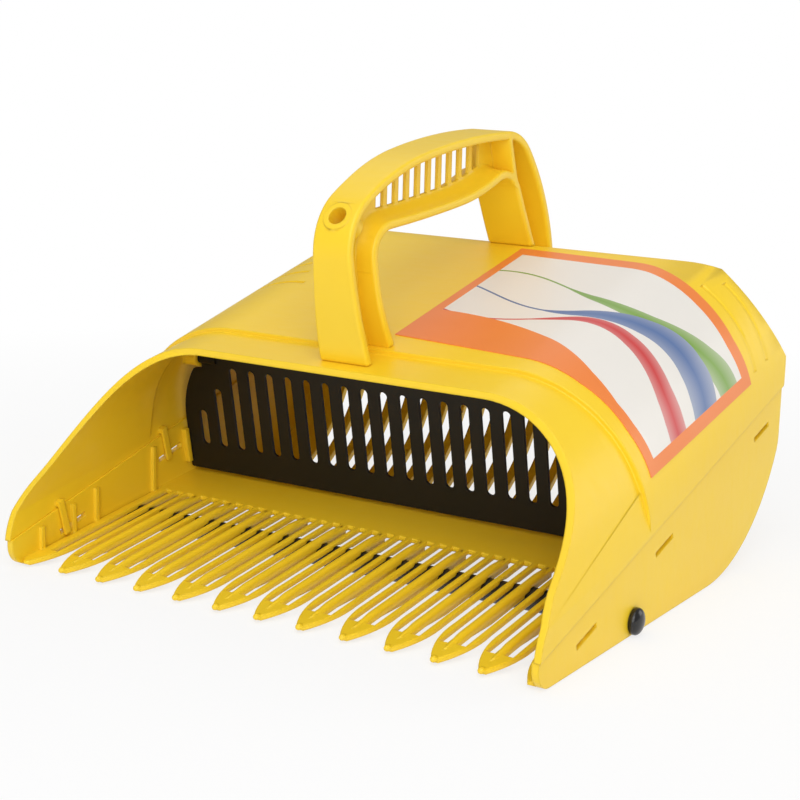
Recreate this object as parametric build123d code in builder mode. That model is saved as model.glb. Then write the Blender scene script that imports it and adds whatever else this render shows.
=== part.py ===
from build123d import *
import math
import os

os.makedirs("parts", exist_ok=True)

# Whole body: distances run back from the finger tips, heights up from the ground
tip_y = -95.2
half_width = 107.5
wall = 2.4
lap = 0.8
clearance = 0.3

# Roof line and seam line in side view
roof_from, roof_height, roof_rise = 63.0, 83.0, 0.2534
seam_from, seam_height, seam_rise = -1.0, 10.5, 0.277

# Hood arch, flared brow and back
shoulder_radius = 50.0
brow_height, brow_rise = 81.2, 0.18
brow_radius, brow_lean = 48.0, 15.0
back_at = 194.4
back_top_radius = 27.0
back_corner_radius = 8.0
round_at, round_radius = 125.0, 145.0
form_start, form_length = -20.0, 240.0
crease_top = (62.5, 82.3)
crease_foot = (69.4, 44.0)
brow_rim = ((-4, 8), (-1.2, 18), (9.1, 30), (27, 46.3), (40.6, 66), (44.5, 75.6))

# Grip grooves across the shoulders, shorter towards the back
groove_from, groove_pitch, grooves, plain_grooves = 108.5, 10.8, 7, 5
groove_width, groove_depth = 1.8, 0.7
groove_low_angle, groove_high_angle, groove_step_angle = 16.0, 90.0, 6.0

# Bow handle, its outer and inner outlines running from the front foot to the back foot
bow_back = ((51.5, 75), (40.8, 115.8), (51.2, 136.3), (88.6, 149.5), (147, 153.9), (162.6, 146.8), (185, 98.4))
bow_back_heading = (-0.386, 0.923)
bow_belly = ((74, 75.5), (58.8, 114.8), (67.2, 124.2), (112.8, 128.5), (140.8, 135.5), (153.4, 130.7), (177, 91))
bow_belly_heading = (-0.639, 0.769)
flange = 3.2
web = 1.2
web_slot, web_pitch, web_slots, web_corner = 4.7, 7.3, 10, 1.4
first_web_slot = 69.4
hang_hole, hang_boss, hang_proud, hang_depth = 6.5, 10.6, 0.4, 9.0
elbow_rib = ((152.6, 130), (154.8, 130), (147.2, 153), (145.0, 153))

# Comb and tray floor
finger_pitch, fingers = 17.0, 13
finger_root, leaf_start = 78.0, 25.0
comb_height, comb_rise, comb_thickness = 2.2, 0.13, 2.0
finger_gap, slit_width = 3.2, 3.2
nub_radius = 1.2
slit_front = 12.0
keel_width, keel_depth = 1.4, 1.8
sill_at, bin_front = 104.0, 113.0
bend_start = 125.0

# Back grille
grille_pitch, grille_slits, grille_slit = 8.5, 21, 5.0
grille_low, grille_high = 6.0, 70.0

# Flap, leaning on its stops; its outline runs across and up from the hinge axis
hinge_at, hinge_height, flap_lean = 88.6, 64.0, 0.207
flap_thickness = 1.2
flap_foot = (103.1, -46.8)
flap_side = (102.8, -29.0)
flap_bulge = (101.4, -16.5)
flap_shoulder = (95.8, -4.6)
flap_neck = (91.6, -4.2)
flap_top = 5.0
flap_slot, flap_pitch, flap_slots, slot_corner = 3.6, 8.55, 23, 1.1
flap_slot_low = -36.8
flap_slot_tops = (-22.2, -12.2, -2.6)
pin_diameter, pin_fit, pin_root, pin_end = 4.0, 0.1, 84.0, 96.8
bearing_diameter, bearing_face, bore_end = 6.8, 92.0, 97.2
stop_edge, stop_low, stop_high, stop_thickness = 102.1, -45.0, -31.0, 2.0

# Cross rod
rod_at, rod_height, rod_diameter, rod_fit = 63.0, 4.7, 8.2, 0.2
cap_diameter, cap_height = 9.2, 3.2
cap_stem_diameter, cap_stem_length, stem_fit = 4.0, 7.0, 0.05

# Snap joints between hood and tray
snap_at = (26.0, 82.7, 166.7)
tongue_at = (21.6, 80.7, 164.7)
snap_length, snap_drop = 14.0, 9.0
snap_window, tongue_thickness = 1.4, 1.2
tongue_width, tongue_low, tongue_high, tongue_root = 5.6, -10.6, 3.0, 1.0

# Upright ribs on the tray walls beside the tongues
wall_ribs = (11.5, 28.3, 41.0, 74.4)
rib_width, rib_proud = 2.0, 1.2

# Label
label_thickness, label_gap = 0.3, 0.02


def at(distance):
    """Y of a distance behind the finger tips."""
    return tip_y + distance


def spot(distance, height):
    """Side-view point, for sketches on the YZ plane."""
    return (tip_y + distance, height)


def roof_at(distance):
    return roof_height + roof_rise * (distance - roof_from)


def seam_at(distance):
    return seam_height + seam_rise * (distance - seam_from)


def comb_at(distance):
    return comb_height + comb_rise * distance


def smooth_chain(points, heading):
    """Arcs through the points, each tangent to the one before it."""
    for start, end in zip(points, points[1:]):
        arc = TangentArc(start, end, tangent=heading)
        heading = arc % 1


def upright(distance):
    """Cross-section plane facing forward, X across and Y up."""
    return Plane((0, at(distance), 0), x_dir=(1, 0, 0), z_dir=(0, -1, 0))


def arch_outline(half, bend, crown):
    """Arch with round shoulders on legs that run below the ground."""
    foot = crown - half_width * 2
    Line((half, foot), (half, crown - bend))
    RadiusArc((half, crown - bend), (half - bend, crown), -bend)
    Line((half - bend, crown), (bend - half, crown))
    RadiusArc((bend - half, crown), (-half, crown - bend), -bend)
    Polyline((-half, crown - bend), (-half, foot), (half, foot))


def brow_form(inset):
    """Filled form of the brow: an arch a little inside the body's, on walls that flare out below."""
    half = half_width - inset
    bend = brow_radius - inset
    centre = (half_width - shoulder_radius, -brow_radius)
    lean = math.radians(brow_lean)
    knee = (centre[0] + bend * math.cos(lean), centre[1] + bend * math.sin(lean))
    flare = (half, knee[1] - (half - knee[0]) / math.tan(lean))
    front = (0, *spot(form_start, brow_height + brow_rise * (form_start - roof_from)))
    with BuildPart() as form:
        with BuildSketch(Plane(front, x_dir=(1, 0, 0), z_dir=(0, -1, -brow_rise))):
            with BuildLine():
                leg = Polyline((half, -half_width * 2), flare, knee)
                curve = CenterArc(centre, bend, brow_lean, 90 - brow_lean)
                mirror([leg, curve], about=Plane.YZ)
                Line((centre[0], -inset), (-centre[0], -inset))
                Line((half, -half_width * 2), (-half, -half_width * 2))
            make_face()
        extrude(amount=-form_length / 2)
    return form.part


def body_form(inset):
    """Filled form of the body behind the brow, drawn in by inset."""
    half = half_width - inset
    back = back_at - inset
    drop = inset * (1 + roof_rise**2) ** 0.5
    square_to_roof = Plane(
        (0, *spot(form_start, roof_at(form_start))), x_dir=(1, 0, 0), z_dir=(0, -1, -roof_rise)
    )
    with BuildPart() as form:
        with BuildSketch(square_to_roof):
            with BuildLine():
                arch_outline(half, shoulder_radius - inset, -inset)
            make_face()
        extrude(amount=-form_length)
        with BuildSketch(Plane.YZ) as side:
            with BuildLine():
                Polyline(
                    spot(form_start, 0),
                    spot(back, 0),
                    spot(back, roof_at(back) - drop),
                    spot(form_start, roof_at(form_start) - drop),
                    close=True,
                )
            make_face()
            fillet(side.vertices().group_by(Axis.X)[-1].sort_by(Axis.Y)[-1], back_top_radius - inset)
        extrude(amount=half_width * 2, both=True, mode=Mode.INTERSECT)
        with BuildSketch(Plane.XY) as plan:
            with Locations((0, at(form_start))):
                Rectangle(half * 2, back - form_start, align=(Align.CENTER, Align.MIN))
            fillet(plan.vertices().group_by(Axis.Y)[-1], back_corner_radius - inset)
        extrude(amount=half_width * 2, mode=Mode.INTERSECT)
        with BuildSketch(Plane.XY):
            with BuildLine():
                ball = CenterArc((0, at(round_at)), round_radius - inset, 0, 90)
                Polyline(ball @ 1, (0, at(form_start)), (round_radius - inset, at(form_start)), ball @ 0)
            make_face()
        revolve(axis=Axis.Y, mode=Mode.INTERSECT)
    return form.part


def seam_plane(lift):
    """Plane of the parting line, facing up, raised by lift."""
    origin = (0, at(seam_from), seam_height + lift)
    return Plane(origin, x_dir=(1, 0, 0), z_dir=(0, -seam_rise, 1))


def snap_plane(distance, side_x):
    """Upright plane along the wall whose X runs along the seam."""
    origin = (side_x, at(distance), seam_at(distance))
    return Plane(origin, x_dir=(0, 1, seam_rise), z_dir=(1, 0, 0))


# Filled forms of the hood, outside and inside
crease = Plane(
    (0, *spot(*crease_top)),
    x_dir=(1, 0, 0),
    z_dir=(0, crease_top[1] - crease_foot[1], crease_foot[0] - crease_top[0]),
)


def hood_form(inset):
    """Filled form of the hood: the brow before the crease, the fuller body behind it."""
    body = body_form(inset)
    with BuildPart() as form:
        add(brow_form(inset))
        split(bisect_by=crease.offset(inset), keep=Keep.BOTTOM)
        add(split(body, bisect_by=crease.offset(inset), keep=Keep.TOP, mode=Mode.PRIVATE))
    return form.part


outside = hood_form(0)
middle = hood_form(wall / 2)
inside = hood_form(wall)

# Bow handle: two flanges of varying width, joined by a slotted web
with BuildSketch(Plane.YZ) as bow:
    with BuildLine():
        back = [spot(*point) for point in bow_back]
        belly = [spot(*point) for point in bow_belly]
        smooth_chain(back, bow_back_heading)
        smooth_chain(belly, bow_belly_heading)
        Line(back[0], belly[0])
        Line(back[-1], belly[-1])
    make_face()

with BuildPart() as width_limit:
    with BuildSketch(Plane.XZ.offset(-at(30))):
        with BuildLine():
            Polyline((10.6, 70), (7.6, 118), (-7.6, 118), (-10.6, 70), close=True)
        make_face()
    extrude(amount=-50)
    with BuildSketch(Plane.XY.offset(118)):
        with BuildLine():
            nose = Line((7.6, at(38)), (7.6, at(60)))
            edge = ThreePointArc(nose @ 1, (8.7, at(102)), (9.2, at(150)))
            tail = Line(edge @ 1, (10.4, at(190)))
            mirror([nose, edge, tail], about=Plane.YZ)
            Line((7.6, at(38)), (-7.6, at(38)))
            Line((10.4, at(190)), (-10.4, at(190)))
        make_face()
    extrude(amount=40)
    with BuildSketch(Plane.XY.offset(118)):
        with BuildLine():
            Polyline((9.2, at(150)), (10.4, at(190)), (-10.4, at(190)), (-9.2, at(150)), close=True)
        make_face()
    extrude(amount=-30)

with BuildPart() as handle:
    with BuildSketch(Plane.YZ):
        add(bow.sketch_local)
        offset(amount=-flange, mode=Mode.SUBTRACT)
        with BuildLine():
            Polyline(*[spot(*point) for point in elbow_rib], close=True)
        make_face()
        add(bow.sketch_local, mode=Mode.INTERSECT)
    extrude(amount=half_width / 8, both=True)
    add(width_limit.part, mode=Mode.INTERSECT)
    with BuildSketch(Plane.YZ):
        add(bow.sketch_local)
        for index in range(web_slots):
            reach = first_web_slot + index * web_pitch
            low = 129.4 + 0.00225 * (reach - first_web_slot) ** 2
            high = 149.2 - 0.0026 * (reach - 128) ** 2
            half_slot, half_length = web_slot / 2, (high - low) / 2
            with Locations(spot(reach, (low + high) / 2)):
                Polygon(
                    (half_slot, half_length),
                    (-half_slot, half_length),
                    (-half_slot, web_corner - half_length),
                    (web_corner - half_slot, -half_length),
                    (half_slot - web_corner, -half_length),
                    (half_slot, web_corner - half_length),
                    mode=Mode.SUBTRACT,
                )
    extrude(amount=web / 2, both=True)
    hang_face = Plane((0, *spot(44.7, 130)), x_dir=(1, 0, 0), z_dir=(0, -0.8, 0.6)).offset(hang_proud)
    with BuildSketch(hang_face):
        Circle(hang_boss / 2)
    extrude(amount=-hang_depth)
    with BuildSketch(hang_face):
        Circle(hang_hole / 2)
    extrude(amount=-hang_depth, mode=Mode.SUBTRACT)
    add(outside, mode=Mode.SUBTRACT)
handle.part.label = "handle"

# Flap bearings stand on the shoulders inside the hood
hinge = spot(hinge_at, hinge_height)
with BuildPart() as bearings:
    with BuildSketch(Plane.YZ.offset(bearing_face)):
        with Locations(hinge):
            Circle(bearing_diameter / 2)
    extrude(amount=half_width - bearing_face)
    mirror(about=Plane.YZ)
    add(middle, mode=Mode.INTERSECT)

# Grip grooves, each a shallow ring sector; the right shoulder is plain where the label sits
with BuildPart() as grips:
    for side, first in ((1, plain_grooves), (-1, 0)):
        for index in range(first, grooves):
            distance = groove_from + index * groove_pitch
            centre = (half_width - shoulder_radius, roof_at(distance) - shoulder_radius)
            sweep = groove_high_angle - index * groove_step_angle - groove_low_angle
            middle_plane = Plane((0, at(distance), 0), x_dir=(side, 0, 0), z_dir=(0, -side, 0))
            with BuildSketch(middle_plane):
                with BuildLine():
                    near = CenterArc(centre, shoulder_radius - groove_depth, groove_low_angle, sweep)
                    far = CenterArc(centre, shoulder_radius + wall, groove_low_angle, sweep)
                    Line(near @ 0, far @ 0)
                    Line(near @ 1, far @ 1)
                make_face()
            extrude(amount=groove_width / 2, both=True)

# Snap tongues hang from the hood inside the tray walls
tongue_back = half_width - lap - wall - clearance
with BuildPart() as tongues:
    for distance in tongue_at:
        with BuildSketch(snap_plane(distance, tongue_back)):
            with Locations((0, (tongue_low + tongue_high) / 2)):
                Rectangle(tongue_width, tongue_high - tongue_low)
        extrude(amount=-tongue_thickness)
        with BuildSketch(snap_plane(distance, tongue_back)):
            with Locations((0, (tongue_root + tongue_high) / 2)):
                Rectangle(tongue_width, tongue_high - tongue_root)
        extrude(amount=lap + clearance + wall / 2)
        with BuildSketch(snap_plane(distance, tongue_back)):
            with Locations((0, -snap_drop)):
                Rectangle(3.0, snap_window - 2 * clearance)
        extrude(amount=clearance + wall / 2)
    mirror(about=Plane.YZ)

# Hood
with BuildPart() as hood:
    add(outside)
    add(inside, mode=Mode.SUBTRACT)
    split(bisect_by=seam_plane(0), keep=Keep.TOP)
    with BuildSketch(Plane.YZ):
        with BuildLine():
            rim = [spot(*point) for point in brow_rim]
            smooth_chain(rim, (0.05, 1))
            Polyline(
                rim[-1],
                (rim[-1][0], 100),
                spot(form_start - 20, 100),
                spot(form_start - 20, -60),
                (rim[0][0], -60),
                rim[0],
            )
        make_face()
    extrude(amount=half_width * 2, both=True, mode=Mode.SUBTRACT)
    add(bearings.part)
    add(tongues.part)
    add(grips.part, mode=Mode.SUBTRACT)
    for side in (1, -1):
        with BuildSketch(Plane.YZ.offset(side * bearing_face)):
            with Locations(hinge):
                Circle(pin_diameter / 2 + pin_fit / 2)
        extrude(amount=side * (bore_end - bearing_face), mode=Mode.SUBTRACT)
hood.part.label = "hood"

# Outline of one finger of the comb, tip forward
with BuildSketch() as leaf:
    half_leaf = (finger_pitch - finger_gap) / 2
    with BuildLine():
        flank = ThreePointArc((half_leaf, leaf_start), (half_leaf * 0.72, leaf_start * 0.37), (1.0, 0.6))
        mirror(flank, about=Plane.YZ)
        Line(flank @ 1, (-1.0, 0.6))
        Polyline(flank @ 0, (half_leaf, finger_root), (-half_leaf, finger_root), (-half_leaf, leaf_start))
    make_face()
    with Locations((0, nub_radius)):
        RegularPolygon(nub_radius, 8, rotation=22.5)
    tine_pitch = finger_pitch / 3
    slit_length = finger_root - slit_front
    with Locations((-tine_pitch / 2, slit_front), (tine_pitch / 2, slit_front)):
        Rectangle(slit_width, slit_length, align=(Align.CENTER, Align.MIN), mode=Mode.SUBTRACT)

# Tray: walls, comb, sill, bin bottom, flap stops and curved back with its grille
flap_plane = Plane((0, *hinge), x_dir=(1, 0, 0), z_dir=(0, -1, -flap_lean))
tray_half = half_width - lap
tray_inner = tray_half - wall
tray_back = back_at - lap
back_radius = tray_back - bend_start
bend_centre = spot(bend_start, back_radius)
finger_x = [(index - (fingers - 1) / 2) * finger_pitch for index in range(fingers)]
grille_x = [(index - (grille_slits - 1) / 2) * grille_pitch for index in range(grille_slits)]
with BuildPart() as tray:
    with BuildSketch(Plane.YZ):
        with BuildLine():
            Line(spot(4, 0), spot(bend_start, 0))
            bend = RadiusArc(spot(bend_start, 0), spot(tray_back, back_radius), -back_radius)
            Polyline(bend @ 1, spot(tray_back, 90), spot(-3.5, 90), spot(-3.5, 7.5))
            RadiusArc(spot(-3.5, 7.5), spot(4, 0), -7.5)
        make_face()
    extrude(amount=tray_half, both=True)
    with BuildSketch(Plane.XY) as plan:
        with Locations((0, at(form_start))):
            Rectangle(tray_half * 2, tray_back - form_start, align=(Align.CENTER, Align.MIN))
        fillet(plan.vertices().group_by(Axis.Y)[-1], back_corner_radius - lap)
    extrude(amount=100, mode=Mode.INTERSECT)
    with BuildSketch(Plane.YZ):
        with BuildLine():
            Polyline(
                spot(form_start, comb_at(form_start)),
                spot(sill_at, comb_at(sill_at)),
                spot(bin_front, wall),
                spot(bend_start, wall),
            )
            hollow = RadiusArc(
                spot(bend_start, wall), spot(tray_back - wall, back_radius), wall - back_radius
            )
            Polyline(
                hollow @ 1,
                spot(tray_back - wall, 95),
                spot(form_start, 95),
                spot(form_start, comb_at(form_start)),
            )
        make_face()
    extrude(amount=tray_inner, both=True, mode=Mode.SUBTRACT)
    with BuildSketch(Plane.YZ):
        with BuildLine():
            Polyline(
                spot(form_start, comb_at(form_start) - comb_thickness),
                spot(sill_at - wall, comb_at(sill_at - wall) - comb_thickness),
                spot(bin_front - wall, 0),
                spot(bin_front - wall, -40),
                spot(form_start, -40),
                close=True,
            )
        make_face()
    extrude(amount=tray_inner, both=True, mode=Mode.SUBTRACT)
    with BuildSketch(*[Plane.YZ.offset(x) for x in finger_x[1:-1]]):
        with BuildLine():
            Polyline(
                spot(slit_front, comb_at(slit_front) - comb_thickness + 0.5),
                spot(finger_root, comb_at(finger_root) - comb_thickness + 0.5),
                spot(finger_root, comb_at(finger_root) - comb_thickness - keel_depth),
                spot(slit_front * 3, comb_at(slit_front * 3) - comb_thickness - keel_depth),
                close=True,
            )
        make_face()
    extrude(amount=keel_width / 2, both=True)
    with BuildSketch(flap_plane.offset(flap_thickness / 2 + clearance)):
        with Locations(((stop_edge + tray_half - 1) / 2, (stop_low + stop_high) / 2)):
            Rectangle(tray_half - 1 - stop_edge, stop_high - stop_low)
        mirror(about=Plane.YZ)
    extrude(amount=stop_thickness)
    split(bisect_by=seam_plane(0), keep=Keep.BOTTOM)
    with BuildSketch(Plane.XY.offset(-10)):
        with Locations((0, at(form_start))):
            Rectangle(tray_inner * 2, finger_root - form_start, align=(Align.CENTER, Align.MIN))
        with Locations(*[(x, tip_y) for x in finger_x]):
            add(leaf.sketch_local, mode=Mode.SUBTRACT)
    extrude(amount=40, mode=Mode.SUBTRACT)
    with BuildSketch(*[Plane.YZ.offset(x) for x in grille_x]):
        with BuildLine():
            near = CenterArc(bend_centre, back_radius - 2 * wall, grille_low - 90, grille_high - grille_low)
            far = CenterArc(bend_centre, back_radius + 2 * wall, grille_low - 90, grille_high - grille_low)
            Line(near @ 0, far @ 0)
            Line(near @ 1, far @ 1)
        make_face()
    extrude(amount=grille_slit / 2, both=True, mode=Mode.SUBTRACT)
    for distance in snap_at:
        with BuildSketch(snap_plane(distance, 0)):
            with Locations((0, -snap_drop)):
                Rectangle(snap_length, snap_window)
        extrude(amount=half_width, both=True, mode=Mode.SUBTRACT)
    with BuildSketch(Plane.YZ):
        with Locations(spot(rod_at, rod_height)):
            Circle(rod_diameter / 2 + rod_fit / 2)
    extrude(amount=tray_half, both=True, mode=Mode.SUBTRACT)
    with BuildSketch(Plane.YZ):
        with Locations(spot(rod_at, rod_height)):
            RegularPolygon(rod_diameter / 2 + clearance, 8, major_radius=False, rotation=22.5)
    extrude(amount=tray_inner, both=True, mode=Mode.SUBTRACT)
    for side in (1, -1):
        with BuildSketch(Plane.YZ.offset(side * (tray_inner - rib_proud))):
            for distance in wall_ribs:
                low, high = comb_at(distance) - comb_thickness / 2, seam_at(distance) - rib_width
                with Locations(spot(distance, (low + high) / 2)):
                    Rectangle(rib_width, high - low)
        extrude(amount=side * (rib_proud + wall / 2))
tray.part.label = "tray"

# Flap: slotted plate with a pin at each end of its top edge
with BuildPart() as flap:
    with BuildSketch(flap_plane.offset(flap_thickness / 2)):
        with BuildLine():
            side_edge = Line(flap_foot, flap_side)
            round_edge = ThreePointArc(flap_side, flap_bulge, flap_shoulder)
            neck = Polyline(flap_shoulder, flap_neck, (flap_neck[0], flap_top))
            mirror([side_edge, round_edge, neck], about=Plane.YZ)
            Line((flap_neck[0], flap_top), (-flap_neck[0], flap_top))
            Line(flap_foot, (-flap_foot[0], flap_foot[1]))
        make_face()
        for index in range(flap_slots):
            x = (index - (flap_slots - 1) / 2) * flap_pitch
            high = flap_slot_tops[min(index, flap_slots - 1 - index, 2)]
            half_slot, half_length = flap_slot / 2, (high - flap_slot_low) / 2
            with Locations((x, (flap_slot_low + high) / 2)):
                Polygon(
                    (half_slot, half_length - slot_corner),
                    (half_slot - slot_corner, half_length),
                    (slot_corner - half_slot, half_length),
                    (-half_slot, half_length - slot_corner),
                    (-half_slot, slot_corner - half_length),
                    (slot_corner - half_slot, -half_length),
                    (half_slot - slot_corner, -half_length),
                    (half_slot, slot_corner - half_length),
                    mode=Mode.SUBTRACT,
                )
    extrude(amount=-flap_thickness)
    for side in (1, -1):
        with BuildSketch(Plane.YZ.offset(side * pin_root)):
            with Locations(hinge):
                Circle(pin_diameter / 2)
        extrude(amount=side * (pin_end - pin_root))
flap.part.label = "flap"

# Cross rod and its two domed caps
with BuildPart() as cross_rod:
    with BuildSketch(Plane.YZ):
        with Locations(spot(rod_at, rod_height)):
            Circle(rod_diameter / 2)
    extrude(amount=tray_half + clearance, both=True)
    for side in (1, -1):
        with BuildSketch(Plane.YZ.offset(side * (tray_half + clearance))):
            with Locations(spot(rod_at, rod_height)):
                Circle(cap_stem_diameter / 2)
        extrude(amount=-side * cap_stem_length, mode=Mode.SUBTRACT)
cross_rod.part.label = "cross_rod"


def rod_cap(side):
    """Domed cap with a stem that sits in the end of the rod, on the side of +X or -X."""
    base = Plane((side * (tray_half + clearance), *spot(rod_at, rod_height)), x_dir=(side, 0, 0), z_dir=(0, 1, 0))
    rim = cap_diameter / 2
    stem = cap_stem_diameter / 2 - stem_fit
    with BuildPart() as cap:
        with BuildSketch(base):
            with BuildLine():
                Polyline(
                    (cap_height, 0),
                    (-cap_stem_length, 0),
                    (-cap_stem_length, stem),
                    (0, stem),
                    (0, rim),
                    (cap_height * 0.4, rim),
                    (cap_height, rim * 0.5),
                    close=True,
                )
            make_face()
        revolve(axis=Axis(base.origin, base.x_dir))
    return cap


rod_cap_right = rod_cap(1)
rod_cap_right.part.label = "rod_cap_right"
rod_cap_left = rod_cap(-1)
rod_cap_left.part.label = "rod_cap_left"

# Label: thin sheet over the right half of the roof, the shoulder and the wall
label_back = body_form(-label_gap)
label_face = body_form(-label_gap - label_thickness)
with BuildPart() as label:
    add(label_face)
    add(label_back, mode=Mode.SUBTRACT)
    with BuildSketch(Plane.XY):
        with BuildLine():
            Polyline(
                (4.8, at(75)),
                (57, at(70.9)),
                (80, at(70.1)),
                (97, at(71.9)),
                (half_width + 5, at(77)),
                (half_width + 5, at(158.5)),
                (99, at(155)),
                (86, at(155.8)),
                (65, at(159)),
                (7.7, at(161.5)),
                close=True,
            )
        make_face()
    extrude(amount=200, mode=Mode.INTERSECT)
    lower_edge = Plane((0, *spot(71, 49.5)), x_dir=(1, 0, 0), z_dir=(0, -0.2185, 1))
    split(bisect_by=lower_edge, keep=Keep.TOP)
label.part.label = "label"

for piece in (hood, handle, tray, flap, cross_rod, rod_cap_left, rod_cap_right, label):
    print(piece.part.label, piece.part.is_valid, len(piece.solids()), round(piece.part.volume))
    export_step(piece.part, "parts/" + piece.part.label + ".step")
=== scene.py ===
"""Looks of the berry rake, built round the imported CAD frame.

Sizes are in millimetres and in the drawing's terms, unless a docstring says otherwise: X goes
across, Y back from the finger tips and Z up from the ground.
"""

import logging
import math
from contextlib import contextmanager
from dataclasses import dataclass
from enum import Enum
from functools import partial
from typing import Callable, Iterator, Sequence

import bmesh
import bpy
from mathutils import Matrix, Vector


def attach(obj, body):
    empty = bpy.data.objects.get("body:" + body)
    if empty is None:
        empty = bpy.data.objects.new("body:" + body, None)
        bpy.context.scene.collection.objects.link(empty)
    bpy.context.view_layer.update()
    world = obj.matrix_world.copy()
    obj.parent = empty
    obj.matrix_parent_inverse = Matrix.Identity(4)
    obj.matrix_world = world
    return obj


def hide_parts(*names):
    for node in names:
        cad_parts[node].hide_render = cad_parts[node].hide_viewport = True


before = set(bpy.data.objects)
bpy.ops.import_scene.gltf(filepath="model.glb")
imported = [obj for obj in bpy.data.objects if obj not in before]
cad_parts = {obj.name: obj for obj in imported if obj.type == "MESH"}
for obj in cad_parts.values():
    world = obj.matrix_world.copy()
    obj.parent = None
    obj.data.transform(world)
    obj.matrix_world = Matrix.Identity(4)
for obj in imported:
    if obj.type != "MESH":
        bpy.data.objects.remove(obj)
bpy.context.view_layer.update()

MM = 0.001
TIP_Y = -95.2
TOUCH = 0.05
FINGER_PITCH = 17.0
COMB_HEIGHT, COMB_RISE, COMB_THICKNESS = 2.2, 0.13, 2.0
SEAM_FROM, SEAM_HEIGHT, SEAM_RISE = -1.0, 10.5, 0.277
ROOF_FROM, ROOF_HEIGHT, ROOF_RISE = 63.0, 83.0, 0.2534
SHOULDER, SHOULDER_CENTRE = 50.0, 57.5

log = logging.getLogger("berry_rake")

Piece = bpy.types.Object
Material = bpy.types.Material
Socket = bpy.types.NodeSocket
Pair = tuple[float, float]
Triple = tuple[float, float, float]
Move = Callable[[Vector], None]
EdgeTest = Callable[[Sequence[Vector]], bool]


class Body(Enum):
    """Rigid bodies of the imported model."""

    SCOOP = "scoop"
    FLAP = "flap"
    ROD = "rod"


class Slot(Enum):
    """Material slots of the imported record."""

    YELLOW = "body_yellow"
    FLAP = "flap_black"
    ROD = "rod_black"
    CAP = "cap_black"
    LABEL = "label_film"


def side_view(point: Vector) -> Vector:
    """A point of the model, in metres, as a point of the drawing."""
    return Vector((point.x / MM, point.y / MM - TIP_Y, point.z / MM))


def model_view(point: Vector) -> Vector:
    """A point of the drawing as a point of the model, in metres."""
    return Vector((point.x, point.y + TIP_Y, point.z)) * MM


def comb_at(distance: float) -> float:
    """Height of the comb's top at a distance behind the finger tips."""
    return COMB_HEIGHT + COMB_RISE * distance


def roof_at(distance: float) -> float:
    """Height of the roof at a distance behind the finger tips."""
    return ROOF_HEIGHT + ROOF_RISE * (distance - ROOF_FROM)


def finger_offset(across: float) -> float:
    """Distance across from the middle of the nearest finger."""
    return (across + FINGER_PITCH / 2) % FINGER_PITCH - FINGER_PITCH / 2


def along_seam(point: Vector, distance: float) -> Pair:
    """A point's place along and above the seam, from the seam's point at a distance.

    Args:
        point: Point of the drawing.
        distance: Where on the seam both are counted from.

    Returns:
        The way along the seam and square to it.
    """
    back = point.y - distance
    up = point.z - SEAM_HEIGHT - SEAM_RISE * (distance - SEAM_FROM)
    length = math.hypot(1.0, SEAM_RISE)
    return (back + SEAM_RISE * up) / length, (up - SEAM_RISE * back) / length


def shift_by_seam(point: Vector, along: float, above: float) -> None:
    """Move a point along the seam and square to it.

    Args:
        point: Point of the drawing, changed in place.
        along: Way along the seam.
        above: Way square to it.
    """
    length = math.hypot(1.0, SEAM_RISE)
    point.y += (along - SEAM_RISE * above) / length
    point.z += (SEAM_RISE * along + above) / length


def turn_side(start: Vector, end: Vector, point: Vector) -> float:
    """On which side of a line in the plane a point lies: above zero on the left, else below."""
    return (end.x - start.x) * (point.y - start.y) - (end.y - start.y) * (point.x - start.x)


def select_only(piece: Piece) -> None:
    """Make a piece the only selected and active object.

    Args:
        piece: Object to select.
    """
    bpy.ops.object.select_all(action="DESELECT")
    piece.select_set(True)
    bpy.context.view_layer.objects.active = piece


def dress(piece: Piece, material: Material) -> None:
    """Give a piece one material, and no other."""
    piece.data.materials.clear()
    piece.data.materials.append(material)


@contextmanager
def editing() -> Iterator[None]:
    """Hold the active piece in edit mode, with all of it selected.

    Returns:
        A context that ends in object mode.
    """
    bpy.ops.object.mode_set(mode="EDIT")
    bpy.ops.mesh.select_all(action="SELECT")
    yield
    bpy.ops.object.mode_set(mode="OBJECT")


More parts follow.
